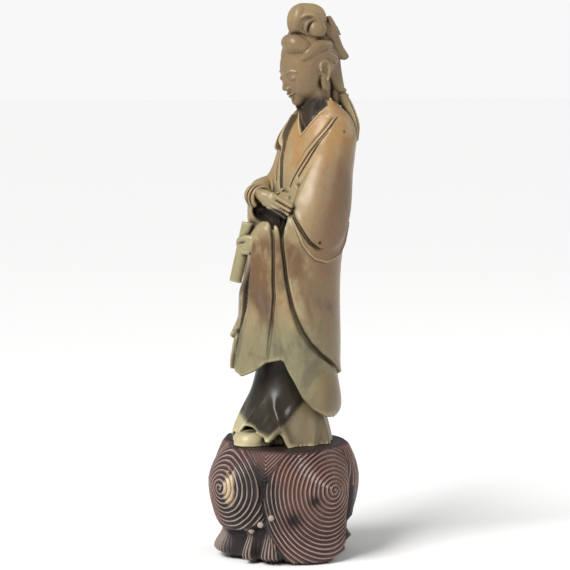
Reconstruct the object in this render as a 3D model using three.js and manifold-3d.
// Standing figure of carved stone on a separate plinth carved as coiled waves.
// Millimetres, +Z up. Origin at the centre of the plinth's flat underside.
// The figure faces -Y, its own left side is +X.
import * as THREE from 'three';
import { mergeVertices } from 'three/addons/utils/BufferGeometryUtils.js';
import Module from 'manifold-3d';

// Plinth, mm
const PLINTH_HEIGHT = 83;
const PLINTH_WAIST_RADIUS = 52;
const COIL_REACH = 58.6;
const COIL_HEIGHT = 54;
const COIL_WIDTH = 41;
const COIL_RISE = 33;
const SHORT_FALL = 31;
const LONG_FALL = 60;
const COIL_PITCH = 4.3;
const COIL_RELIEF = 1.25;
const DIP_DEPTH = 6;
const VALLEY_DEPTH = 4;
const FAN_REACH = 7.5;
const BEAD_RADIUS = 2.5;
const REST_GAP = 0.3;
// A short and a long coil on each half of the plinth, front and left, back and right: angles to the
// valleys before and after each, the way it winds, how its lower half is stretched, and how far its
// ridge is wound.
const COILS = [0, 180].flatMap((half) => [
  { facing: half, before: 68, after: 40.5, hand: 1, stretch: 1, fall: SHORT_FALL, extent: 54, short: true },
  { facing: half + 90, before: 49.5, after: 22, hand: -1, stretch: 1.16, fall: LONG_FALL, extent: 62,
    short: false },
]);

// Figure, mm. The carving is given as shares of this height (percent).
const FIGURE_HEIGHT = 316.7;
const UNIT = FIGURE_HEIGHT / 100;

// Fineness: sampling step of the figure in percent of its height, triangles kept, coil steps a turn,
// columns round the plinth
const CELL = 0.6;
const FIGURE_TRIANGLES = 4950;
const PLINTH_TRIANGLES = 4500;
const COIL_STEPS = 17;
const CORE_COLUMNS = 72;

const rad = (degrees) => (degrees * Math.PI) / 180;
const clamp = (v, lo, hi) => Math.min(hi, Math.max(lo, v));

// Smooth step from 0 at e0 to 1 at e1
function ease(e0, e1, v) {
  const t = clamp((v - e0) / (e1 - e0), 0, 1);
  return t * t * (3 - 2 * t);
}

// Smooth union and smooth cut of two distances
function melt(a, b, k) {
  const h = clamp(0.5 + (0.5 * (b - a)) / k, 0, 1);
  return b + (a - b) * h - k * h * (1 - h);
}
const trim = (a, b, k) => -melt(-a, -b, k);

// Straight-line table
function ramp(at, value) {
  const last = at.length - 1;
  return (v) => {
    if (v <= at[0]) return value[0];
    if (v >= at[last]) return value[last];
    let i = 0;
    while (v > at[i + 1]) i += 1;
    return value[i] + ((value[i + 1] - value[i]) * (v - at[i])) / (at[i + 1] - at[i]);
  };
}

// Smooth table through the same points
function flow(at, value) {
  const n = at.length;
  const slope = value.map((_, i) => {
    if (i === 0) return (value[1] - value[0]) / (at[1] - at[0]);
    if (i === n - 1) return (value[i] - value[i - 1]) / (at[i] - at[i - 1]);
    const before = at[i] - at[i - 1];
    const after = at[i + 1] - at[i];
    const rise = ((value[i] - value[i - 1]) / before) * after + ((value[i + 1] - value[i]) / after) * before;
    return rise / (before + after);
  });
  return (v) => {
    let i = 0;
    while (i < n - 2 && v > at[i + 1]) i += 1;
    const h = at[i + 1] - at[i];
    const t = clamp((v - at[i]) / h, 0, 1);
    const t2 = t * t;
    const t3 = t2 * t;
    return (2 * t3 - 3 * t2 + 1) * value[i] + (t3 - 2 * t2 + t) * h * slope[i]
      + (3 * t2 - 2 * t3) * value[i + 1] + (t3 - t2) * h * slope[i + 1];
  };
}

// Shapes: functions of a point giving the distance to a surface, negative inside.

function egg(c, r) {
  return (x, y, z) => {
    const a = (x - c[0]) / r[0];
    const b = (y - c[1]) / r[1];
    const d = (z - c[2]) / r[2];
    const near = Math.hypot(a, b, d);
    return (near * (near - 1)) / (Math.hypot(a / r[0], b / r[1], d / r[2]) + 1e-6);
  };
}

function rod(a, b, ra, rb) {
  const d = [b[0] - a[0], b[1] - a[1], b[2] - a[2]];
  const size = d[0] * d[0] + d[1] * d[1] + d[2] * d[2];
  return (x, y, z) => {
    const px = x - a[0];
    const py = y - a[1];
    const pz = z - a[2];
    const t = clamp((px * d[0] + py * d[1] + pz * d[2]) / size, 0, 1);
    return Math.hypot(px - t * d[0], py - t * d[1], pz - t * d[2]) - (ra + (rb - ra) * t);
  };
}

function join(k, ...shapes) {
  return (x, y, z) => {
    let f = shapes[0](x, y, z);
    for (let i = 1; i < shapes.length; i += 1) {
      const g = shapes[i](x, y, z);
      f = g > f + k ? f : melt(f, g, k);
    }
    return f;
  };
}

// Round bar along a smooth path
function sweep(points, radii, fine = 3) {
  const at = points.map((_, i) => i);
  const tables = [0, 1, 2].map((axis) => flow(at, points.map((p) => p[axis])));
  tables.push(flow(at, radii));
  const count = (points.length - 1) * fine;
  const rows = [];
  for (let i = 0; i <= count; i += 1) rows.push(tables.map((table) => table(i / fine)));
  const bars = [];
  for (let i = 0; i < count; i += 1) {
    bars.push(rod(rows[i], rows[i + 1], rows[i][3], rows[i + 1][3]));
  }
  const middle = [0, 1, 2].map((axis) => rows.reduce((sum, row) => sum + row[axis], 0) / rows.length);
  const reach = Math.max(...rows.map((row) => Math.hypot(...middle.map((m, i) => row[i] - m)) + row[3]));
  return within(middle, reach, join(0.08 * Math.max(...radii), ...bars));
}

function carve(k, shape, ...tools) {
  return (x, y, z) => {
    let f = shape(x, y, z);
    for (const tool of tools) {
      f = trim(f, -tool(x, y, z), k);
    }
    return f;
  };
}

// A shape in its own axes: origin, three local axes and a scale
function placed(origin, axes, scale, shape) {
  const [u, v, w] = axes;
  return (x, y, z) => {
    const a = (x - origin[0]) / scale;
    const b = (y - origin[1]) / scale;
    const c = (z - origin[2]) / scale;
    const lx = a * u[0] + b * u[1] + c * u[2];
    const ly = a * v[0] + b * v[1] + c * v[2];
    const lz = a * w[0] + b * w[1] + c * w[2];
    return shape(lx, ly, lz) * scale;
  };
}

const mirrored = (shape) => (x, y, z) => shape(Math.abs(x), y, z);

// Far from its ball a shape is only roughly known, which keeps the sampling quick
function within(c, reach, shape) {
  return (x, y, z) => {
    const d = Math.hypot(x - c[0], y - c[1], z - c[2]) - reach;
    return d > 2 ? d : shape(x, y, z);
  };
}

// Axes of a head turned to its right and bowed forward, degrees
function bowed(turn, bow) {
  const [ct, st] = [Math.cos(rad(turn)), Math.sin(rad(turn))];
  const [cb, sb] = [Math.cos(rad(bow)), Math.sin(rad(bow))];
  return [[ct, -st, 0], [st * cb, ct * cb, sb], [-st * sb, -ct * sb, cb]];
}

// The robe is a closed radius round a leaning axis, seen as angle and height.
// Angle 0 is the front, +90 her left side. One degree counts as DEGREE units.
const DEGREE = 0.2;
const LEVELS = [-2, 0, 20, 40, 50, 52, 55, 60, 65, 70, 74, 77, 80];
const axisX = flow(LEVELS, [0, 0, 0, 0.5, 1.0, 1.1, 1.3, 1.6, 2.0, 2.2, 2.3, 2.3, 2.3]);
const axisY = flow(LEVELS, [0, 0, 0.5, 1.2, 2.6, 3.0, 3.8, 5.3, 7.0, 8.0, 8.4, 8.3, 8.2]);
const halfWidth = flow(LEVELS, [12.6, 12.6, 12.8, 12, 11.8, 11.7, 11.3, 10.8, 10.5, 10, 8, 4.6, 3.2]);
const frontDepth = flow(LEVELS, [12.2, 12.2, 12.2, 11.2, 11, 9.6, 7.6, 7.2, 7.2, 6.8, 5.2, 3.4, 2.6]);
const backDepth = flow(LEVELS, [12.2, 12.2, 12.4, 11.6, 11.3, 10.9, 10.3, 9.5, 8.6, 7.9, 6.4, 4.2, 3]);

const turned = (angle, middle) => ((((angle - middle + 180) % 360) + 360) % 360) - 180 + middle;

// Distance from a drawn line on the robe, and the share of the way along it
function seam(points, middle) {
  const line = points.map(([a, h]) => [a * DEGREE, h]);
  const result = [0, 0];
  return (angle, height) => {
    const s = turned(angle, middle) * DEGREE;
    let best = 1e9;
    for (let i = 0; i + 1 < line.length; i += 1) {
      const dx = line[i + 1][0] - line[i][0];
      const dz = line[i + 1][1] - line[i][1];
      const px = s - line[i][0];
      const pz = height - line[i][1];
      const t = clamp((px * dx + pz * dz) / (dx * dx + dz * dz), 0, 1);
      const d = (px - t * dx) ** 2 + (pz - t * dz) ** 2;
      if (d < best) {
        best = d;
        result[1] = (i + t) / (line.length - 1);
      }
    }
    result[0] = Math.sqrt(best);
    return result;
  };
}

// Signed distance into a closed area drawn on the robe, positive inside
function area(points, middle) {
  const edge = seam([...points, points[0]], middle);
  const ring = points.map(([a, h]) => [a * DEGREE, h]);
  return (angle, height) => {
    const s = turned(angle, middle) * DEGREE;
    let inside = false;
    for (let i = 0; i < ring.length; i += 1) {
      const [ax, az] = ring[i];
      const [bx, bz] = ring[(i + 1) % ring.length];
      if ((az > height) !== (bz > height) && s < ((bx - ax) * (height - az)) / (bz - az) + ax) {
        inside = !inside;
      }
    }
    const d = edge(angle, height)[0];
    return inside ? d : -d;
  };
}

// Where the side panel ends over the petal-shaped tail below it
const PANEL_EDGE = [[36, 51.5], [38.5, 48], [42, 44.5], [45.5, 41.5], [49.5, 37.8], [53.6, 34.8],
  [58.6, 31.4], [64.5, 28.6], [71.5, 25.9], [81, 23.2], [96, 20.5], [112, 18.6], [124, 17]];
const PANEL_ROUND = [[134, 15.6], [141, 15.3], [150, 16.4], [165, 19], [180, 20.5], [200, 19.5],
  [225, 18.5], [250, 19.5], [270, 22], [290, 27], [302, 34], [306, 42], [308, 60], [308, 90], [36, 90]];
// Hanging left sleeve: outer hem, inner mouth and upper part
const SLEEVE_HEM = [[43, 53.5], [48, 51], [54, 48.7], [62, 45.6], [70, 43.6], [78, 42.2], [92, 41.4],
  [102, 42], [113, 42.9], [124, 45.5], [130, 50]];
const SLEEVE_MOUTH = [[40, 54], [50, 51.1], [57, 49.3], [64, 47.4], [70, 46], [80, 44.6], [90, 44.2]];
const SLEEVE_REST = [[98, 44], [108, 44.8], [119, 47], [127, 51]];
const SLEEVE_TOP = [[138, 58], [140, 66], [110, 71], [80, 71], [55, 64], [43, 58]];
const RIGHT_SLEEVE = [[-62, 58], [-60, 48], [-66, 41], [-80, 36.5], [-97, 35.5], [-113, 38], [-124, 44],
  [-130, 52], [-135, 66], [-80, 70]];
// Lapels from the left shoulder to the hands, and from the right one
const LAPELS = [
  {
    line: [[86, 75], [74, 73.8], [64, 72], [49, 69.2], [35, 66.4], [26, 63.3], [20, 60.4], [17, 57.5]],
    wide: 0.26,
    deep: 0.6,
  },
  {
    line: [[88, 74.6], [77, 73.2], [67, 71.2], [54, 68.6], [42.5, 65.8], [34, 62.8], [28, 60], [25, 57]],
    wide: 0.22,
    deep: 0.5,
  },
  {
    line: [[70, 71.4], [57, 68.8], [48, 65.6], [40, 62], [36, 60]],
    wide: 0.2,
    deep: 0.4,
  },
];
const RIGHT_LAPEL = [[-40, 77], [-27, 74.5], [-29, 71], [-28, 68], [-27, 65.5], [-21, 63.5], [-8, 60.8],
  [3, 58]];
const RIGHT_BORDER = [[-44, 76], [-33, 73], [-34, 70], [-33.5, 67], [-31, 64.5], [-25, 62], [-14, 59.5]];
const NECKLINE = [[-40, 76.5], [-18, 74.6], [2, 72.2], [17, 70.1], [32, 72.6], [50, 74.9], [74, 76.6],
  [90, 80], [-60, 80]];
const CENTRE_PLEAT = [[20, 52.5], [26, 50], [30.5, 46.7], [32.4, 43.8], [34.7, 37.7], [36.5, 34], [35, 30],
  [33, 26.7], [31.5, 23.5], [30, 21], [28.5, 18.4]];
const HEM = [[-180, 11.5], [-150, 9.8], [-125, 8.8], [-105, 11.5], [-93, 15.5], [-70, 17.5], [-48, 17.2],
  [-36, 15.9], [-27, 17.5], [-21, 18.6], [-14, 16.2], [-4, 15.4], [12, 16.6], [28, 18.8], [46, 19.6],
  [50, 19.2], [54.5, 17.3], [63.5, 14.3], [73, 11], [85, 8.3], [98, 6.5], [112, 6.2], [126, 7.1],
  [136, 8.2], [150, 9.5], [165, 10.8], [180, 11.5]];

const sidePanel = area([...PANEL_EDGE, ...PANEL_ROUND], 172);
const sleeveInside = area([...SLEEVE_MOUTH, ...SLEEVE_REST, ...SLEEVE_TOP], 90);
const sleeveWhole = area([...SLEEVE_HEM, ...SLEEVE_TOP], 90);
const rightSleeve = area(RIGHT_SLEEVE, -95);
const chest = area([...LAPELS[0].line, [26, 57], [-110, 57], [-110, 76], [88, 76]], 0);
const rightBreast = area([...RIGHT_LAPEL, [18, 58], [0, 56], [-100, 56], [-100, 76]], -40);
const opening = area(NECKLINE, 20);
// Strips of cloth hanging beside the drape: angles, top, pointed tip, thickness
const STRIPS = [[-50, -19, 40, 23.5, 1.4], [-54, -29, 29, 14.9, 2]];
const hangingStrips = STRIPS.map(([from, to, top, tip, lift]) => ({
  top,
  lift,
  at: area([[from, top], [to, top], [to - 1, tip + 5], [(from + to) / 2, tip], [from - 2, tip + 5]], -30),
}));
const hemHeight = ramp(HEM.map((p) => p[0]), HEM.map((p) => p[1]));
const drapeEdge = ramp([14, 20, 25.7, 32.7, 38.4, 46.3, 50], [-19, -21, -20, -14.5, -11, -9, -8]);
const drapeRidge = flow([14, 22, 25.8, 28.7, 33.5, 39.6, 45.6, 50],
  [-16, -16, -13.5, -5, 5.5, 9.5, 10.5, 17]);
const pleatAngle = ramp(CENTRE_PLEAT.map((p) => p[1]).reverse(), CENTRE_PLEAT.map((p) => p[0]).reverse());
const pleatDrift = ramp([16, 50], [12, 6]);
const panelSeam = seam(PANEL_EDGE, 80);
const pleatSeam = seam(CENTRE_PLEAT, 20);
const mouthSeam = seam(SLEEVE_MOUTH, 70);
const hemSeam = seam(SLEEVE_HEM, 90);
const rightSeams = [seam(RIGHT_LAPEL, 0), seam(RIGHT_BORDER, -30)];
const lapelSeams = LAPELS.map(({ line, wide, deep }) => ({ wide, deep, at: seam(line, 60) }));
const foldSeam = seam([[36, 33], [41, 27], [44, 23], [45, 19]], 20);
const bell = (d, width) => Math.exp(-((d / width) ** 2));

// Drape, side panel, tail and hanging strips below the hands
function lowerLayers(angle, z) {
  const low = 1 - ease(49.5, 52, z);
  const q = (angle - drapeEdge(z)) * DEGREE;
  const panel = 1 - ease(-0.2, 0.5, sidePanel(angle, z));
  let r = -(0.5 + 0.45 * ease(38, 28, z)) * panel * ease(56, 50, z);
  r += 1.6 * ease(19, 8, z) * ease(75, 100, angle);
  r += 0.9 * ease(26, 16, z) * ease(30, -12, angle) * ease(-60, -25, angle);
  r -= 1.4 * (1 - ease(-0.3, 0.25, q)) * low * ease(-75, -45, angle);
  const side = (drapeRidge(z) - angle) * DEGREE;
  r += (0.35 * bell(side, 0.9) - 0.45 * clamp(side, 0, 3) * ease(-0.1, 0.2, q)) * low;
  const pleat = (angle - pleatAngle(z)) * DEGREE;
  r -= 0.4 * ease(0, 0.35, pleat) * ease(62, 45, angle) * ease(36, 28, z);
  r += 1.5 * ease(-12, 6, angle) * ease(56, 28, angle) * ease(51.5, 49, z) * ease(20, 44, z);
  if (angle > -75 && angle < 0) {
    for (const strip of hangingStrips) {
      r += strip.lift * ease(strip.top, strip.top - 7, z) * ease(-0.2, 0.35, strip.at(angle, z));
    }
  }
  if (angle > -12 && angle < 60) {
    const pleats = Math.cos(rad((angle - pleatDrift(z)) * 22));
    r += 0.14 * pleats * ease(-12, -4, angle) * ease(34, 27, angle) * low;
    const [d, along] = foldSeam(angle, z);
    r += 0.25 * bell(d, 0.5) * ease(0, 0.3, along);
  }
  return r;
}

// Hanging sleeves on both sides
function sleeveLayers(angle, z) {
  const fade = ease(66, 52, z);
  if (angle > 30) {
    const hanging = 0.65 * ease(-0.2, 0.25, sleeveWhole(angle, z));
    return (hanging + 0.55 * ease(-0.5, 1.3, sleeveInside(angle, z))) * fade;
  }
  return angle < -50 ? 0.85 * ease(-0.2, 0.35, rightSleeve(angle, z)) * fade : 0;
}

// Chest inside the lapels, right breast and neckline
function collarLayers(angle, z) {
  const r = 0.6 * ease(-0.1, 0.4, rightBreast(angle, z)) * ease(-75, -50, angle);
  const inside = opening(angle, z);
  return r - 0.5 * ease(-0.2, 0.3, chest(angle, z)) + 0.45 * bell(inside + 0.35, 0.35)
    - 1.6 * ease(-0.15, 0.5, inside);
}

// Radius of the dressed body at an angle and height
function robeRadius(dx, dy, angle, z) {
  const deep = dy < 0 ? frontDepth(z) : backDepth(z);
  let r = (Math.hypot(dx, dy) + 1e-6) / (Math.hypot(dx / halfWidth(z), dy / deep) + 1e-9);
  if (z < 57) r += lowerLayers(angle, z);
  if (z > 34 && z < 72) r += sleeveLayers(angle, z);
  if (z > 55) r += collarLayers(angle, z);
  return r;
}

function robe(x, y, z) {
  const dx = x - axisX(z);
  const dy = y - axisY(z);
  const away = Math.hypot(dx, dy);
  const angle = (Math.atan2(dx, -dy) * 180) / Math.PI;
  if (away > 20) return away - 16;
  const r = robeRadius(dx, dy, angle, z);
  const cloth = trim((away - r) * 0.86, (z - 77.6) * 0.8, 1.2);
  // the hem is hollow underneath
  const under = hemHeight(angle) + 3.2 * ease(0.5, 3.5, r - away);
  return trim(cloth, (under - z) * 0.7, 0.35);
}

// Depth of the carved lines, taken off the joined cloth
function carvedLines(x, y, z) {
  const dx = x - axisX(z);
  const dy = y - axisY(z);
  const angle = (Math.atan2(dx, -dy) * 180) / Math.PI;
  let deep = 0;
  if (z < 55) {
    const wide = 0.42 + 0.4 * ease(36, 27, z) * ease(17, 22, z);
    let [d, along] = panelSeam(angle, z);
    deep = 1.1 * bell(d, wide) * ease(1, 0.9, along);
    [d, along] = pleatSeam(angle, z);
    deep = Math.max(deep, 1.1 * bell(d, 0.4) * ease(1, 0.9, along) * (0.45 + 0.55 * ease(22, 34, z)));
  }
  if (z > 38 && z < 58) {
    let [d, along] = mouthSeam(angle, z);
    deep = Math.max(deep, 0.9 * bell(d, 0.34) * ease(1, 0.75, along));
    [d, along] = hemSeam(angle, z);
    deep -= 0.42 * bell(d, 0.3);
  }
  if (z > 55) {
    for (const lapel of lapelSeams) {
      const [d, along] = lapel.at(angle, z);
      deep = Math.max(deep, lapel.deep * bell(d, lapel.wide) * ease(0, 0.12, along) * ease(1, 0.9, along));
    }
    for (const line of rightSeams) {
      deep = Math.max(deep, 0.6 * bell(line(angle, z)[0], 0.25));
    }
  }
  return deep * 0.9;
}

// Underskirt: each standing fold by angle, slant and curl with height, how high and how wide
const FOLDS = [[-46, 0, 0, 1.5, 9], [-18, 3.4, 0, 1.1, 5], [9, 3, 0, 0.5, 5], [30, 3.2, 0.12, 1.4, 6],
  [57, -2, 0, 1.9, 6], [88, 1.5, 0, 0.9, 8], [112, 0, 0, 1.2, 8], [142, 0, 0, 0.3, 9], [172, 0, 0, 0.8, 10],
  [205, 0, 0, 1.1, 9], [238, 0, 0, 1.4, 10], [268, 0, 0, 1.2, 9], [292, 0, 0, 1.3, 8]];
const skirtRadius = flow([-2, 0, 1.5, 3, 5, 8, 12, 15, 22, 26],
  [11.2, 10.9, 10.6, 10.3, 9.8, 8.9, 7.5, 6.7, 6.2, 6]);
const skirtLift = ramp(
  [-180, -60, -48, -40, -33, -25, -12, -2, 8, 16, 22, 30, 35, 41, 46, 50, 54, 57, 70, 180],
  [-3, -3, 0.5, 1.8, 1.1, 2.2, 3.7, 4.1, 3.7, 3, 2.3, 1.1, 0.9, 1.8, 3, 2.5, 0.8, -0.4, -3, -3],
);

// Toes of two shoes, the left one flattened on top
const LEFT_TOE = [0.8, -9.8, 0.3];
const RIGHT_TOE = [-5, -6.8, 0.4];
const TOE_TOP = 3;
const leftShoe = egg(LEFT_TOE, [3.8, 4.3, 3.5]);
const rightShoe = egg(RIGHT_TOE, [2.6, 3.6, 2.2]);
function shoes(x, y, z) {
  const sole = z - TOE_TOP - 0.16 * (y - LEFT_TOE[1]);
  const left = trim(leftShoe(x, y, z), Math.max(sole, 0.7 * sole + 0.5 * (x - 3)), 0.35);
  return melt(left, rightShoe(x, y, z), 0.3);
}

function skirt(x, y, z) {
  const away = Math.hypot(x, y);
  const angle = (Math.atan2(x, -y) * 180) / Math.PI;
  const grow = ease(13, 1, z);
  let r = skirtRadius(z);
  for (const [at, slant, curl, high, wide] of FOLDS) {
    const d = turned(angle - at - slant * z - curl * z * z, 0);
    r += high * grow * bell(d, wide * (1.35 - 0.35 * grow));
  }
  const inset = r - away;
  const under = skirtLift(angle) + 2 * ease(0.4, 2.4, inset) - 10 * ease(2.6, 5, inset);
  const cloth = Math.max(trim((away - r) * 0.72, (under - z) * 0.7, 0.3), z - 24);
  return melt(cloth, shoes(x, y, z), 0.2);
}

// Arms in their sleeves
const LEFT_ARM = [[8.6, 7.9, 69.3], [9, 4.8, 58], [8.9, 0.8, 50.8], [4.6, -6.2, 48.4], [1.8, -8.3, 46.9]];
const RIGHT_ARM = [[-5.4, 8.4, 69], [-7, 4.4, 58.8], [-3.9, -3.4, 57.3], [-1.2, -5.9, 56.5]];
const RIGHT_CUFF = [[-2.4, -5.6, 56], [-2.6, -5.7, 51.5], [-3, -5.6, 46]];
const BREAST_FOLD = [[-0.8, 3.2, 74], [-1.8, 2.3, 71.5], [-2.7, 1.4, 69], [-3.2, 0.8, 67]];
const RIBBON = [[-1.5, 0.6, 64.4], [-1.5, 0, 61.6], [-0.6, -0.5, 58]];
const NOTCH = [[-2.9, -1.9, 61.9], [-1.4, -0.9, 60.7]];
// Hollow between the hand laid on top and the sleeve below it
const UNDER_HAND = [[-0.8, -6.3, 52.8], [1.6, -6.5, 52.2], [4.2, -6.4, 51.4], [6.6, -6.3, 51],
  [8.3, -6.8, 48.4]];
// Round rim of the right cuff and the wrinkles behind it: shift, width, thickness
const CUFF_AT = [0.3, -6.6, 55.8];
const CUFF_RADIUS = 2.3;
const WRINKLES = [[0, 1, 0.5], [-0.95, 1.14, 0.46], [-1.95, 1.22, 0.46], [-3, 1.24, 0.42]];
function cuff(x, y, z) {
  const [a, b, c] = [x - CUFF_AT[0], y - CUFF_AT[1], z - CUFF_AT[2]];
  const t = 0.8 * a - 0.1 * b - 0.1 * c;
  const out = Math.sqrt(Math.max(a * a + b * b + c * c - t * t, 0));
  let near = 9;
  for (const [shift, wide, thick] of WRINKLES) {
    near = melt(near, Math.hypot(out - CUFF_RADIUS * wide, (t - shift) * 1.2) - thick, 0.15);
  }
  return near;
}
const leftArm = sweep(LEFT_ARM, [3.1, 3.5, 4, 3.5, 2.2]);
const rightArm = join(0.8, sweep(RIGHT_ARM, [3, 3.3, 2.6, 2.3]), sweep(RIGHT_CUFF, [2.2, 2.2, 1.6]));
const cuffHollow = egg([2.4, -7.9, 53.4], [3.2, 2.7, 2.4]);
const rightSleeved = carve(0.3, join(0.3, carve(0.4, rightArm, cuffHollow), cuff), rod(...NOTCH, 0.3, 0.35));
const arms = join(0.35, join(0.5, leftArm, rightSleeved), sweep(BREAST_FOLD, [0.5, 0.75, 0.95, 0.85]),
  sweep(RIBBON, [0.4, 0.5, 0.5]));
const underHand = sweep(UNDER_HAND, [1.5, 2.2, 2.3, 1.8, 0.5]);

// Right hand laid flat, four fingers side by side
const FINGERS = [
  { root: [5, -7.2, 56.6], tip: [8.8, -4.9, 54.2], wide: 0.6 },
  { root: [4.6, -7.9, 55.65], tip: [8.6, -5.2, 53.15], wide: 0.52 },
  { root: [4.4, -8, 54.7], tip: [8.4, -5.5, 52.25], wide: 0.5 },
  { root: [4.3, -7.8, 53.8], tip: [7.8, -5.8, 51.5], wide: 0.48 },
];
const handBack = join(0.6, rod([0.2, -7.2, 56.6], [2.6, -7.7, 56.3], 1.2, 1.45),
  egg([3.6, -7.3, 55.5], [2.3, 1.25, 1.85]));
const rightHand = within([4.4, -6.5, 55], 6, join(0.35, handBack,
  join(0.04, ...FINGERS.map(({ root, tip, wide }) => rod(root, tip, wide, 0.82 * wide)))));

// Left fist round the scroll: palm, thumb over the top and three fingers
const GRIP = [-0.6, -10.4, 46.2];
const GRIP_STEP = 0.85;
function leftFist() {
  const [x, y, top] = GRIP;
  const thumb = sweep([[x + 2.6, y + 0.6, top + 0.4], [x + 0.9, y - 0.6, top + 0.5],
    [x - 0.6, y - 1.3, top + 0.1], [x - 1.4, y - 1.2, top - 0.9]], [0.95, 0.8, 0.65, 0.42]);
  const fingers = [1, 2, 3].map((i) => {
    const z = top - i * GRIP_STEP;
    const path = [[x + 1.6, y - 0.3, z], [x + 0.2, y - 1, z - 0.1], [x - 1, y - 1.1, z - 0.2]];
    return sweep(path, [0.6, 0.52, 0.4]);
  });
  const palm = egg([x + 1.6, y + 0.5, top - 1], [1.9, 1.6, 2]);
  return within([x, y, top - 1], 4, join(0.1, join(0.4, palm, thumb), ...fingers));
}
const leftHand = leftFist();

// Rolled scroll, a plain bar cut square at both ends
const SCROLL_TOP = [-0.95, -9.5, 50.2];
const SCROLL_FOOT = [-2.6, -11.9, 36.8];
const SCROLL_RADIUS = 1.4;
const scrollBar = rod(SCROLL_TOP, SCROLL_FOOT, SCROLL_RADIUS, SCROLL_RADIUS);
const scrollLength = Math.hypot(...SCROLL_FOOT.map((v, i) => v - SCROLL_TOP[i]));
function scroll(x, y, z) {
  const point = [x, y, z];
  let s = 0;
  for (let i = 0; i < 3; i += 1) {
    s += ((point[i] - SCROLL_TOP[i]) * (SCROLL_FOOT[i] - SCROLL_TOP[i])) / scrollLength;
  }
  return trim(scrollBar(x, y, z), Math.max(-s, s - scrollLength), 0.15);
}

// Head, in its own axes: x to her left, y to the back, z up
const HEAD_AT = [0.85, 5.6, 84.7];
const HEAD_AXES = bowed(6, 20);
const HEAD_SCALE = 1.12;
const EYE = 1.75;
const MOUTH = -3.72;
const CHIN = -5.5;
const skull = join(1.2, join(1.2, egg([0, 0.7, 1.3], [4.7, 5.5, 5.2]), egg([0, -1.5, -1.3], [4.15, 4, 5.4])),
  egg([0, -3.75, CHIN], [1.5, 1.3, 1]));
const nose = join(0.25, sweep([[0, -5.1, 1.2], [0, -5.55, -0.6], [0, -6.05, -1.95]], [0.34, 0.4, 0.52]),
  mirrored(egg([0.55, -5.5, -2.15], [0.48, 0.6, 0.4])));
const sockets = mirrored(egg([EYE + 0.1, -5.95, 0.05], [1.4, 1, 0.72]));
const lids = mirrored(egg([EYE, -4.6, -0.25], [1.15, 0.78, 0.6]));
const lips = join(0.12, mirrored(egg([0.42, -5.2, MOUTH + 0.27], [0.72, 0.48, 0.26])),
  egg([0, -5.12, MOUTH - 0.33], [0.78, 0.52, 0.32]));
const underLip = egg([0, -5.55, MOUTH - 0.95], [0.85, 0.45, 0.28]);
const earShell = join(0.3, egg([4.4, 1.5, -0.7], [0.6, 1.3, 1.9]), egg([4.3, 0.7, -3.4], [0.5, 0.8, 1.6]));
const EAR_RIM = [[4.85, 0.4, -0.5], [4.95, 0.6, 0.5], [4.95, 1.4, 1.1], [4.9, 2.3, 0.7], [4.85, 2.6, -0.4],
  [4.75, 2.1, -1.7], [4.6, 1.5, -2.8]];
const earRim = sweep(EAR_RIM, [0.26, 0.28, 0.32, 0.34, 0.32, 0.3, 0.26]);
const ears = mirrored(join(0.12, carve(0.2, earShell, egg([5.1, 1.5, -0.5], [0.65, 0.75, 1.2])), earRim));
const front = carve(0.7, join(0.35, skull, nose), sockets);
const face = join(0.2, carve(0.25, join(0.2, front, lids, lips), underLip), ears);
const neck = rod([2.1, 8, 81], [2.1, 7.2, 71], 3, 3.7);
const collar = rod([6.6, 8.2, 77.9], [7.6, 7.8, 74], 0.3, 2.2);
const web = egg([2.6, 12.8, 78.2], [1.2, 1.5, 3.4]);
const head = within([2, 7.5, 81], 13, join(0.6,
  join(0.8, placed(HEAD_AT, HEAD_AXES, HEAD_SCALE, face), neck), web, collar));

// Hair close to the head: cap cut along the hairline, lobes, mound and side bands
const capBall = egg([0, 1.4, 2], [5.1, 5.8, 5.7]);
const cap = (x, y, z) => trim(capBall(x, y, z), -((y + 3.9) * 0.75 + (z - 4.3) * 0.62), 0.3);
const nearLobe = sweep([[0.6, -2.3, 6], [1.9, -1.9, 5.9], [3.3, -1, 5.1]], [1.5, 2, 1.45]);
const farLobe = sweep([[-0.6, -1.6, 6], [-1.9, -0.7, 5.9], [-3.2, 0, 5.2]], [1.4, 1.7, 1.4]);
const mound = egg([0, 1.4, 6.9], [2.8, 2.9, 2.2]);
const SECOND = [[3.7, -1.9, 3], [4.05, -0.3, 3.7], [3.9, 2.2, 4], [3.2, 4.6, 3.4]];
const seconds = mirrored(sweep(SECOND, [0.7, 1.25, 1.4, 1.2]));
const BAND = [[4.2, -1, 1.3], [4.3, 0.4, 2.3], [4.2, 2.8, 2.1], [3.7, 4.8, 0.4]];
const bands = mirrored(sweep(BAND, [0.55, 0.8, 1.1, 1]));
const headHair = placed(HEAD_AT, HEAD_AXES, HEAD_SCALE,
  join(0.08, join(0.5, join(0.12, cap, bands), mound), nearLobe, farLobe, seconds));
const nape = sweep([[1.8, 10.3, 87.5], [2.5, 11.9, 83.6], [3.5, 13.3, 80.3]], [2.9, 2.2, 1.2]);
const tie = join(0.05, egg([3.7, 13.6, 79.9], [1.35, 1.35, 0.7]), egg([4, 14, 78.7], [1.35, 1.35, 0.65]));
const TAIL = [[4, 13.9, 78.6], [4.8, 14.9, 75.8], [5.7, 15.8, 72], [6.1, 15.8, 68.9]];
const tail = sweep(TAIL, [1.1, 1.35, 1.35, 0.95]);

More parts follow.
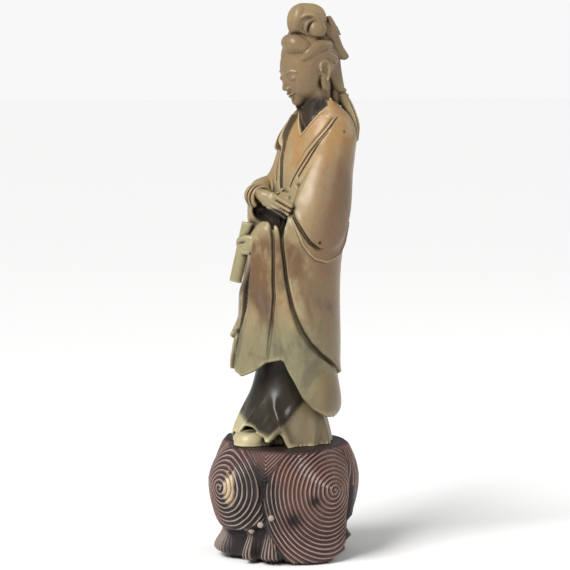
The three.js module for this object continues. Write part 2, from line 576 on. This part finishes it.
// Top knot: on either side a fat roll over smaller lobes tucked in behind it.
// The roll by turn in degrees, thickness and how far it reaches out.
const KNOT_AT = [1.56, 5.49, 95.04];
const KNOT_RADII = [4.1, 4.5, 4];
const KNOT_TURN = 54;
const ROLL = [[222, 1, 4.6], [200, 1.15, 4.6], [178, 1.25, 4.65], [155, 1.35, 4.85], [134, 1.45, 4.95],
  [112, 1.5, 4.7], [90, 1.5, 4.45], [66, 1.4, 4.6], [46, 1.15, 4.75], [28, 0.8, 4.6], [10, 0.5, 4.4]];
const CRESCENTS = [
  {
    line: [[-1.5, -2.4, 2.3], [-1.6, -0.7, 2.9], [-0.9, 0.6, 2.9], [0.5, 1.3, 2.6]],
    wide: [0.4, 0.6, 0.62, 0.35],
  },
  {
    line: [[-0.5, -2.6, 2.7], [-0.6, -1, 3.3], [0.1, 0.3, 3.3], [1.3, 0.9, 2.9]],
    wide: [0.4, 0.5, 0.5, 0.3],
  },
];
function knotSide(side) {
  const across = rad(KNOT_TURN);
  const axes = [[side * Math.cos(across), Math.sin(across), 0], [0, 0, 1],
    [side * Math.sin(across), -Math.cos(across), 0.12]];
  const path = ROLL.map(([turn, thick, reach]) => {
    const t = rad(turn);
    return [(reach - thick) * Math.cos(t), (reach - thick) * Math.sin(t), 1.2 + 0.25 * thick];
  });
  const roll = sweep(path, ROLL.map(([, thick]) => thick), 2);
  const crescents = CRESCENTS.map(({ line, wide }) => sweep(line, wide));
  const rolled = egg([1.9, -1.3, 2], [2.35, 2.3, 1.7]);
  return {
    dent: placed(KNOT_AT, axes, 1, egg([0.8, -0.9, 4.4], [3.2, 2.7, 1.8])),
    relief: placed(KNOT_AT, axes, 1, join(0.05, roll, rolled, ...crescents)),
  };
}
const knotSides = [knotSide(1), knotSide(-1)];
const knotBall = egg(KNOT_AT, KNOT_RADII);
const LEAF = [[3.4, 10.3, 96], [3.6, 11.2, 94], [3.4, 11.7, 91.3], [3.5, 12.6, 89.1], [4.1, 14.1, 87.8],
  [4.7, 15.6, 86.8]];
const leafStem = rod([2.2, 9, 94.6], [3.2, 11.2, 91.2], 1.5, 1.6);
const leaf = join(0.5, sweep(LEAF, [0.8, 1, 1.5, 1.6, 1, 0.2]), leafStem);
const leafTip = rod([2.9, 12.5, 94], [3.1, 14, 92.5], 0.7, 0.15);
const knot = within(KNOT_AT, 11, join(0.12, carve(0.3, knotBall, ...knotSides.map((s) => s.dent)),
  ...knotSides.map((s) => s.relief), leaf, leafTip));
const hair = within([2.5, 9, 84], 18, join(0.12, join(0.8, headHair, nape), tie, tail, knot));

function figureShape(x, y, z) {
  let f = 9;
  if (z < 80) {
    f = trim(melt(robe(x, y, z), arms(x, y, z), 0.7), -underHand(x, y, z), 0.4);
  }
  if (Math.abs(f) < 1.5) {
    f += carvedLines(x, y, z) * ease(1.5, 0.5, Math.abs(f));
  }
  if (z < 27) {
    f = melt(f, skirt(x, y, z), 0.2);
  } else if (z < 64) {
    f = melt(f, rightHand(x, y, z), 0.12);
    f = melt(f, leftHand(x, y, z), 0.15);
    f = melt(f, scroll(x, y, z), 0.12);
  } else {
    f = melt(f, head(x, y, z), 0.25);
    f = melt(f, hair(x, y, z), 0.2);
  }
  return Math.max(f, -z - 1);
}

// Wraps a closed net of quads round a shape sampled on a grid
function wrap(shape, low, high, cell) {
  const size = low.map((v, i) => Math.ceil((high[i] - v) / cell / 4) * 4 + 1);
  const [nx, ny, nz] = size;
  const at = (i, j, k) => (k * ny + j) * nx + i;
  const value = new Float32Array(nx * ny * nz);
  const place = (i, axis) => low[axis] + i * cell;
  // blocks far from the surface take one value
  for (let bk = 0; bk < nz; bk += 4) {
    for (let bj = 0; bj < ny; bj += 4) {
      for (let bi = 0; bi < nx; bi += 4) {
        const middle = shape(place(bi + 1.5, 0), place(bj + 1.5, 1), place(bk + 1.5, 2));
        const plain = Math.abs(middle) > cell * 5;
        for (let k = bk; k < Math.min(bk + 4, nz); k += 1) {
          for (let j = bj; j < Math.min(bj + 4, ny); j += 1) {
            for (let i = bi; i < Math.min(bi + 4, nx); i += 1) {
              value[at(i, j, k)] = plain ? middle : shape(place(i, 0), place(j, 1), place(k, 2));
            }
          }
        }
      }
    }
  }
  // where the surface would touch itself across a cell, the weakest outer corner is filled
  const corner = [0, 1, nx, nx + 1, nx * ny, nx * ny + 1, nx * ny + nx, nx * ny + nx + 1];
  const sides = [[0, 1, 3, 2], [4, 5, 7, 6], [0, 1, 5, 4], [2, 3, 7, 6], [0, 2, 6, 4], [1, 3, 7, 5]];
  const opposite = [[0, 7], [1, 6], [2, 5], [3, 4]];
  const fill = (list) => {
    let best = -1;
    for (const c of list) {
      if (value[c] >= 0 && (best < 0 || value[c] < value[best])) best = c;
    }
    value[best] = -1e-3;
  };
  for (let pass = 0, changed = true; changed && pass < 12; pass += 1) {
    changed = false;
    for (let k = 0; k < nz - 1; k += 1) {
      for (let j = 0; j < ny - 1; j += 1) {
        for (let i = 0; i < nx - 1; i += 1) {
          const base = at(i, j, k);
          let inner = 0;
          for (let c = 0; c < 8; c += 1) inner += value[base + corner[c]] < 0 ? 1 : 0;
          if (inner < 2 || inner > 6) continue;
          for (const side of sides) {
            const [a, b, c, d] = side.map((s) => value[base + corner[s]] < 0);
            if (a === c && b === d && a !== b) {
              fill(side.map((s) => base + corner[s]));
              changed = true;
            }
          }
          for (const [p, q] of opposite) {
            const a = value[base + corner[p]] < 0;
            if (a !== value[base + corner[q]] < 0) continue;
            let same = 0;
            for (let c = 0; c < 8; c += 1) same += (value[base + corner[c]] < 0) === a ? 1 : 0;
            if (same === 2) {
              fill(corner.map((c) => base + c));
              changed = true;
            }
          }
        }
      }
    }
  }
  const vertex = new Int32Array(nx * ny * nz).fill(-1);
  const points = [];
  const edges = [[0, 1], [2, 3], [4, 5], [6, 7], [0, 2], [1, 3], [4, 6], [5, 7], [0, 4], [1, 5], [2, 6],
    [3, 7]];
  for (let k = 0; k < nz - 1; k += 1) {
    for (let j = 0; j < ny - 1; j += 1) {
      for (let i = 0; i < nx - 1; i += 1) {
        const base = at(i, j, k);
        let hits = 0;
        const sum = [0, 0, 0];
        for (const [p, q] of edges) {
          const a = value[base + corner[p]];
          const b = value[base + corner[q]];
          if (a < 0 === b < 0) continue;
          const t = a / (a - b);
          hits += 1;
          for (let axis = 0; axis < 3; axis += 1) {
            const from = (p >> axis) & 1;
            const to = (q >> axis) & 1;
            sum[axis] += from + (to - from) * t;
          }
        }
        if (hits) {
          vertex[base] = points.length;
          points.push([i, j, k].map((v, axis) => low[axis] + (v + sum[axis] / hits) * cell));
        }
      }
    }
  }
  const faces = [];
  const steps = [[1, nx, nx * ny], [nx, nx * ny, 1], [nx * ny, 1, nx]];
  for (let k = 1; k < nz - 1; k += 1) {
    for (let j = 1; j < ny - 1; j += 1) {
      for (let i = 1; i < nx - 1; i += 1) {
        const base = at(i, j, k);
        for (const [along, u, v] of steps) {
          const inside = value[base] < 0;
          if (inside === value[base + along] < 0) continue;
          const quad = [base - u - v, base - v, base, base - u].map((c) => vertex[c]);
          if (!inside) quad.reverse();
          faces.push([quad[0], quad[1], quad[2]], [quad[0], quad[2], quad[3]]);
        }
      }
    }
  }
  return { points, faces };
}

// Merges edges of a closed net, least change of shape first, until few enough triangles remain
function simplify(net, target) {
  const { points } = net;
  const faces = net.faces.map((f) => [...f]);
  const around = points.map(() => []);
  faces.forEach((f, i) => f.forEach((v) => around[v].push(i)));
  const cross = (a, b, c) => {
    const [ux, uy, uz] = [b[0] - a[0], b[1] - a[1], b[2] - a[2]];
    const [vx, vy, vz] = [c[0] - a[0], c[1] - a[1], c[2] - a[2]];
    return [uy * vz - uz * vy, uz * vx - ux * vz, ux * vy - uy * vx];
  };
  const error = points.map(() => new Float64Array(10));
  for (const f of faces) {
    const n = cross(points[f[0]], points[f[1]], points[f[2]]);
    const size = Math.hypot(...n) || 1e-12;
    const [a, b, c] = n.map((v) => v / size);
    const d = -(a * points[f[0]][0] + b * points[f[0]][1] + c * points[f[0]][2]);
    const q = [a * a, a * b, a * c, a * d, b * b, b * c, b * d, c * c, c * d, d * d];
    for (const v of f) q.forEach((term, i) => { error[v][i] += term * size; });
  }
  const cost = (q, [x, y, z]) => q[0] * x * x + 2 * q[1] * x * y + 2 * q[2] * x * z + 2 * q[3] * x
    + q[4] * y * y + 2 * q[5] * y * z + 2 * q[6] * y + q[7] * z * z + 2 * q[8] * z + q[9];
  const stamp = new Int32Array(points.length);
  const heap = [];
  const push = (item) => {
    let i = heap.push(item) - 1;
    while (i > 0) {
      const up = (i - 1) >> 1;
      if (heap[up].cost <= item.cost) break;
      heap[i] = heap[up];
      i = up;
    }
    heap[i] = item;
  };
  const pop = () => {
    const top = heap[0];
    const item = heap.pop();
    if (!heap.length) return top;
    let i = 0;
    for (;;) {
      let next = 2 * i + 1;
      if (next >= heap.length) break;
      if (next + 1 < heap.length && heap[next + 1].cost < heap[next].cost) next += 1;
      if (heap[next].cost >= item.cost) break;
      heap[i] = heap[next];
      i = next;
    }
    heap[i] = item;
    return top;
  };
  const offer = (a, b) => {
    const q = error[a].map((v, i) => v + error[b][i]);
    const middle = points[a].map((v, i) => (v + points[b][i]) / 2);
    const spots = [middle, points[a], points[b]];
    const det = q[0] * (q[4] * q[7] - q[5] * q[5]) - q[1] * (q[1] * q[7] - q[5] * q[2])
      + q[2] * (q[1] * q[5] - q[4] * q[2]);
    const length = Math.hypot(...points[a].map((v, i) => v - points[b][i]));
    if (Math.abs(det) > 1e-6) {
      const x = -(q[3] * (q[4] * q[7] - q[5] * q[5]) - q[1] * (q[6] * q[7] - q[5] * q[8])
        + q[2] * (q[6] * q[5] - q[4] * q[8])) / det;
      const y = -(q[0] * (q[6] * q[7] - q[8] * q[5]) - q[3] * (q[1] * q[7] - q[5] * q[2])
        + q[2] * (q[1] * q[8] - q[6] * q[2])) / det;
      const z = -(q[0] * (q[4] * q[8] - q[5] * q[6]) - q[1] * (q[1] * q[8] - q[6] * q[2])
        + q[3] * (q[1] * q[5] - q[4] * q[2])) / det;
      if (Math.hypot(x - middle[0], y - middle[1], z - middle[2]) < length) spots.unshift([x, y, z]);
    }
    let best = spots[0];
    for (const spot of spots) {
      if (cost(q, spot) < cost(q, best)) best = spot;
    }
    const price = cost(q, best) + 1e-4 * length * length;
    push({ cost: price, a, b, spot: best, markA: stamp[a], markB: stamp[b] });
  };
  for (const f of faces) {
    for (let i = 0; i < 3; i += 1) {
      if (f[i] < f[(i + 1) % 3]) offer(f[i], f[(i + 1) % 3]);
    }
  }
  const beside = (v) => {
    const set = new Set();
    for (const i of around[v]) faces[i].forEach((w) => set.add(w));
    set.delete(v);
    return set;
  };
  const flips = (v, other, spot) => around[v].some((i) => {
    const f = faces[i];
    if (f.includes(other)) return false;
    const before = cross(...f.map((w) => points[w]));
    const after = cross(...f.map((w) => (w === v ? spot : points[w])));
    const dot = before[0] * after[0] + before[1] * after[1] + before[2] * after[2];
    return dot <= 0.25 * Math.hypot(...before) * Math.hypot(...after) + 1e-12;
  });
  let left = faces.length;
  while (left > target && heap.length) {
    const { a, b, spot, markA, markB } = pop();
    if (stamp[a] !== markA || stamp[b] !== markB) continue;
    const sideA = beside(a);
    let shared = 0;
    for (const v of beside(b)) shared += sideA.has(v) ? 1 : 0;
    if (shared !== 2 || flips(a, b, spot) || flips(b, a, spot)) continue;
    points[a] = spot;
    for (const i of around[b]) {
      if (faces[i].includes(a)) {
        faces[i].forEach((v) => { if (v !== b) around[v] = around[v].filter((w) => w !== i); });
        faces[i] = null;
        left -= 1;
      } else {
        faces[i] = faces[i].map((v) => (v === b ? a : v));
        around[a].push(i);
      }
    }
    error[b].forEach((v, i) => { error[a][i] += v; });
    stamp[b] = -1;
    stamp[a] += 1;
    for (const v of beside(a)) offer(a, v);
  }
  return { points, faces: faces.filter((f) => f) };
}

const wasm = await Module();
wasm.setup();

function solidOf(geometry) {
  const plain = geometry.clone();
  plain.deleteAttribute('normal');
  plain.deleteAttribute('uv');
  const merged = mergeVertices(plain, 1e-4);
  return new wasm.Manifold(new wasm.Mesh({
    numProp: 3,
    vertProperties: new Float32Array(merged.attributes.position.array),
    triVerts: new Uint32Array(merged.index.array),
  }));
}

function geometryOf(points, faces) {
  const geometry = new THREE.BufferGeometry();
  geometry.setAttribute('position', new THREE.Float32BufferAttribute(points.flat(), 3));
  geometry.setIndex(faces.flat());
  return geometry;
}

function netOf(solid) {
  const { vertProperties, triVerts, numProp } = solid.getMesh();
  const points = [];
  for (let i = 0; i < vertProperties.length; i += numProp) {
    points.push([...vertProperties.subarray(i, i + 3)]);
  }
  const faces = [];
  for (let i = 0; i < triVerts.length; i += 3) {
    faces.push([...triVerts.subarray(i, i + 3)]);
  }
  return { points, faces };
}

function geometryOfSolid(solid) {
  const { points, faces } = netOf(solid);
  const flat = geometryOf(points, faces).toNonIndexed();
  flat.computeVertexNormals();
  return flat;
}

// Block below or above a height, to cut a solid flat
function slab(size, low, high) {
  const box = new THREE.BoxGeometry(size, size, high - low);
  box.translate(0, 0, (low + high) / 2);
  return solidOf(box);
}

// Figure: wrapped, simplified, scaled to size and cut flat under the feet
function buildFigure() {
  const net = simplify(wrap(figureShape, [-15.5, -17.5, -2], [17.5, 20, 101.5], CELL), FIGURE_TRIANGLES);
  const foot = PLINTH_HEIGHT + REST_GAP;
  const points = net.points.map(([x, y, z]) => [x * UNIT, y * UNIT, z * UNIT + foot]);
  const body = solidOf(geometryOf(points, net.faces));
  return body.subtract(slab(FIGURE_HEIGHT, foot - FIGURE_HEIGHT / 10, foot));
}

// Plinth: a closed radius round the upright axis. Heights in percent of its height, radii in percent
// of its waist, angles in degrees from the front.
const plinthProfile = flow([0, 7, 24, 39, 60, 100], [88, 95, 94, 97, 100, 100]);
const shoulder = flow([68, 77, 84, 90, 95, 98, 100], [0, 0.08, 0.2, 0.38, 0.6, 0.82, 1]);
const seatRadius = ramp([-180, -130, -90, -76, -55, -37, -20, 0, 20, 42, 64, 80, 103, 130, 174, 180],
  [81, 88.5, 96, 99, 84.5, 69, 73, 81, 90.5, 104, 105, 96, 86, 86.5, 81.5, 81]);
const rimHeight = ramp(
  [-180, -150, -137, -110, -90, -70, -50, -37, -8, 10, 21, 31, 43, 54, 65, 75, 91, 100, 107, 112, 125, 141,
    160, 180],
  [9.6, 7, 8.4, 3.6, 0, 2.4, 7, 8.4, 6, 5.4, 4.8, 6.6, 7.2, 4.8, 1.8, 0, 0, 4.8, 7.2, 16.8, 16.8, 15.6,
    12, 9.6],
);
const VALLEYS = [40.5, 112, -139.5, -68];
// Fans of foam at the foot and hollows between the coils, repeated half a turn on
const FANS = [{ at: -22, wide: 23 }, { at: 19.5, wide: 6.5 }, { at: 40, wide: 11 }];
const HOLLOWS = [
  { at: 60, up: 40, wide: 8, tall: 8, deep: 5 },
  { at: 75, up: 57, wide: 5, tall: 5, deep: 2.5 },
];
const HALVES = [0, 180];

// How far a coil stands out of the body, with the dip under a short one
function swell(coil, angle, z) {
  const facing = turned(angle - coil.facing, 0);
  const up = z - COIL_HEIGHT;
  const across = rad(facing) * (PLINTH_WAIST_RADIUS / COIL_WIDTH);
  const far = Math.hypot(across, up / (up > 0 ? COIL_RISE : coil.fall));
  const out = (COIL_REACH - PLINTH_WAIST_RADIUS) * Math.max(0, 1 - far) ** 0.85;
  if (!coil.short) {
    return out + COIL_RELIEF * 1.3 * bell(facing, 20) * ease(17, 2, (100 * z) / PLINTH_HEIGHT);
  }
  const inside = ease(-coil.before, -coil.before + 10, facing) * ease(coil.after, coil.after - 6, facing);
  const under = ease(0.97, 1.13, Math.hypot(up / coil.fall, facing / 56));
  return out - DIP_DEPTH * inside * under * ease(37, 29, (100 * z) / PLINTH_HEIGHT);
}

function plinthRadius(angle, z) {
  const share = (100 * z) / PLINTH_HEIGHT;
  const side = turned(angle, 0);
  let r = (PLINTH_WAIST_RADIUS * plinthProfile(share)) / 100;
  for (const coil of COILS) r += swell(coil, side, z);
  for (const half of HALVES) {
    for (const { at, up, wide, tall, deep } of HOLLOWS) {
      const far = Math.hypot(turned(side - at - half, 0) / wide, (share - up) / tall);
      r -= (PLINTH_WAIST_RADIUS * deep * bell(far, 1)) / 100;
    }
    for (const { at, wide } of FANS) {
      const spread = 0.55 + 0.45 * clamp(1 - share / 30, 0, 1);
      const d = turned(side - at - half, 0) / spread / wide;
      r += Math.exp(-(d ** 4)) * ease(35, 24, share) * FAN_REACH * (0.25 + 0.75 * ease(28, 5, share));
    }
  }
  if (share > 68) {
    r += ((PLINTH_WAIST_RADIUS * seatRadius(side)) / 100 - r) * shoulder(share);
  }
  return r;
}

// Closed net of rings round the axis, each ring a height and a radius by angle
function turnedNet(rings, columns) {
  const around = (i) => -180 + (360 * i) / columns;
  const points = [[0, 0, rings[0](0)[1]], [0, 0, rings[rings.length - 1](0)[1]]];
  const faces = [];
  const number = (level, i) => 2 + level * columns + (i % columns);
  for (const ring of rings) {
    for (let i = 0; i < columns; i += 1) {
      const [r, z] = ring(around(i));
      points.push([r * Math.sin(rad(around(i))), -r * Math.cos(rad(around(i))), z]);
    }
  }
  const top = rings.length - 1;
  for (let i = 0; i < columns; i += 1) {
    faces.push([0, number(0, i + 1), number(0, i)], [1, number(top, i), number(top, i + 1)]);
    for (let k = 0; k < top; k += 1) {
      faces.push([number(k, i), number(k, i + 1), number(k + 1, i + 1)]);
      faces.push([number(k, i), number(k + 1, i + 1), number(k + 1, i)]);
    }
  }
  return solidOf(geometryOf(points, faces));
}

// Heights of the core's rings between its lifted rim and its top, as shares
const CORE_LEVELS = [0, 0.04, 0.09, 0.15, 0.22, 0.3, 0.38, 0.48, 0.62, 0.76, 0.88, 0.95, 1];
const rimOf = (angle) => (rimHeight(angle) / 100) * PLINTH_HEIGHT;
function coreRadius(angle, z) {
  // the core lies a little behind the coils' ridges
  return plinthRadius(angle, z) - COIL_RELIEF * 0.55 * ease(22, 30, (100 * z) / PLINTH_HEIGHT);
}
// the net runs a little past both flat ends and is cut level at the end
const EXTRA = PLINTH_HEIGHT / 80;
const standing = (angle) => [0.78 * coreRadius(angle, rimOf(angle)), -EXTRA];

function buildCore() {
  const rings = CORE_LEVELS.map((share) => (angle) => {
    const z = rimOf(angle) + (PLINTH_HEIGHT - rimOf(angle)) * share;
    return [coreRadius(angle, z), z];
  });
  const top = (angle) => [coreRadius(angle, PLINTH_HEIGHT), PLINTH_HEIGHT + EXTRA];
  return turnedNet([standing, ...rings, top], CORE_COLUMNS);
}

// Everything above the lifted rim, under the seat and within reach of the coils
function buildCover() {
  const rim = (angle) => [coreRadius(angle, rimOf(angle)), rimOf(angle)];
  const outer = (angle) => [COIL_REACH * 1.3, rimOf(angle)];
  const top = () => [COIL_REACH * 1.3, PLINTH_HEIGHT + EXTRA];
  return turnedNet([standing, rim, outer, top], CORE_COLUMNS);
}

// Wedge of space between two angles round the axis
function wedge(from, to) {
  const outline = new THREE.Shape([[0, 0], ...[0, 1, 2, 3].map((i) => {
    const a = rad(from + ((to - from) * i) / 3);
    return [2 * COIL_REACH * Math.sin(a), -2 * COIL_REACH * Math.cos(a)];
  })].map(([x, y]) => new THREE.Vector2(x, y)));
  const prism = new THREE.ExtrudeGeometry(outline, { depth: 2 * PLINTH_HEIGHT, bevelEnabled: false });
  return solidOf(prism.translate(0, 0, -PLINTH_HEIGHT / 2));
}

// Space above the rounded lower edge of a short coil
function aboveEdge(coil) {
  const half = 2 * COIL_REACH;
  const low = [];
  for (let i = -12; i <= 12; i += 1) {
    const t = rad(7.5 * i);
    low.push([(coil.fall / 0.7) * Math.sin(t), -coil.fall * Math.cos(t)]);
  }
  const outline = [[-half, half], [-half, 0], ...low, [half, 0], [half, half]];
  const shape = new THREE.Shape(outline.map(([x, y]) => new THREE.Vector2(x, y + COIL_HEIGHT)));
  const prism = new THREE.ExtrudeGeometry(shape, { depth: half, bevelEnabled: false });
  return solidOf(prism.rotateX(Math.PI / 2).rotateZ(rad(coil.facing)));
}

// One coil: a ridge winding out over the side of the plinth, cut off at the valleys beside it
function buildCoil(coil, cover) {
  const steps = COIL_STEPS;
  const turns = Math.floor(coil.extent / COIL_PITCH);
  const count = turns * steps;
  const place = (across, up, lift) => {
    const angle = coil.facing + (across / PLINTH_WAIST_RADIUS) * (180 / Math.PI);
    const z = COIL_HEIGHT + up * (up < 0 ? coil.stretch : 1);
    const surface = plinthRadius(angle, clamp(z, 0, PLINTH_HEIGHT));
    const r = lift === null ? PLINTH_WAIST_RADIUS * 0.5 : surface + lift;
    return [r * Math.sin(rad(angle)), -r * Math.cos(rad(angle)), z];
  };
  const along = (k, half) => {
    const s = COIL_PITCH * (k / steps + half * 0.5 + 0.15);
    const t = coil.hand * ((2 * Math.PI * k) / steps);
    return [s * Math.cos(t), s * Math.sin(t)];
  };
  const points = [place(0, 0, COIL_RELIEF * 0.55)];
  for (let k = 0; k <= count; k += 1) {
    for (const half of [0, 1]) {
      points.push(place(...along(k, half), COIL_RELIEF * (half ? -0.45 : 0.55)));
    }
  }
  const crest = (k) => 1 + 2 * k;
  const dip = (k) => 2 + 2 * k;
  const faces = [];
  const quad = (p, q, r, s) => faces.push([p, q, r], [p, r, s]);
  for (let k = 0; k < count; k += 1) {
    quad(crest(k), dip(k), dip(k + 1), crest(k + 1));
    if (k + steps < count) quad(dip(k), crest(k + steps), crest(k + steps + 1), dip(k + 1));
  }
  for (let k = 0; k < steps; k += 1) faces.push([0, crest(k), crest(k + 1)]);
  faces.push([0, crest(steps), dip(0)], [0, dip(0), crest(0)]);
  // rim wall and back
  const rim = [];
  for (let k = count - steps; k <= count; k += 1) rim.push(dip(k));
  rim.push(crest(count));
  const back = rim.map((v, i) => {
    const k = i > steps ? count : count - steps + i;
    return points.push(place(...along(k, i > steps ? 0 : 1), null)) - 1;
  });
  const hub = points.push(place(0, 0, null)) - 1;
  rim.forEach((v, i) => {
    const next = (i + 1) % rim.length;
    quad(rim[next], v, back[i], back[next]);
    faces.push([hub, back[next], back[i]]);
  });
  if (coil.hand < 0) faces.forEach((f) => f.reverse());
  const sector = wedge(coil.facing - coil.before, coil.facing + coil.after);
  const whole = solidOf(geometryOf(points, faces)).intersect(cover).intersect(sector);
  return coil.short ? whole.intersect(aboveEdge(coil)) : whole;
}

// Upright groove of triangular section where two coils meet
function valleyCutter(angle) {
  const outer = PLINTH_WAIST_RADIUS + 3 * VALLEY_DEPTH;
  const inner = PLINTH_WAIST_RADIUS - VALLEY_DEPTH;
  const outline = [[0, -inner], [1.9 * VALLEY_DEPTH, -outer], [-1.9 * VALLEY_DEPTH, -outer]];
  const shape = new THREE.Shape(outline.map(([x, y]) => new THREE.Vector2(x, y)));
  const prism = new THREE.ExtrudeGeometry(shape, { depth: PLINTH_HEIGHT, bevelEnabled: false });
  return solidOf(prism.translate(0, 0, 0.49 * PLINTH_HEIGHT).rotateZ(rad(angle)));
}

// Round beads of foam in a short row beside the foot of a coil, by angle and percent of height
const BEADS = [[37, 41], [31, 35.5], [26, 29]];
function buildBeads(half) {
  return BEADS.map(([angle, up]) => {
    const bead = new THREE.SphereGeometry(BEAD_RADIUS, 8, 5);
    const a = rad(angle + half);
    const z = (up / 100) * PLINTH_HEIGHT;
    const r = coreRadius(angle + half, z) + BEAD_RADIUS * 0.45;
    bead.translate(r * Math.sin(a), -r * Math.cos(a), z);
    return solidOf(bead);
  });
}

function buildPlinth() {
  const cover = buildCover();
  let body = buildCore();
  for (const coil of COILS) body = body.add(buildCoil(coil, cover));
  for (const angle of VALLEYS) body = body.subtract(valleyCutter(angle));
  for (const half of HALVES) {
    for (const bead of buildBeads(half)) body = body.add(bead);
  }
  const net = simplify(netOf(body), PLINTH_TRIANGLES);
  body = solidOf(geometryOf(net.points, net.faces));
  body = body.subtract(slab(4 * COIL_REACH, -PLINTH_HEIGHT, 0));
  return body.subtract(slab(4 * COIL_REACH, PLINTH_HEIGHT, 2 * PLINTH_HEIGHT));
}

function stone(name, solid, colour, roughness) {
  const material = new THREE.MeshStandardMaterial({ color: colour, roughness, metalness: 0 });
  const mesh = new THREE.Mesh(geometryOfSolid(solid), material);
  mesh.name = name;
  return mesh;
}

const group = new THREE.Group();
group.name = 'guanyin_figure';
group.add(stone('figure', buildFigure(), 0xb59a74, 0.38));
group.add(stone('plinth', buildPlinth(), 0x6f4b46, 0.5));
export default group;
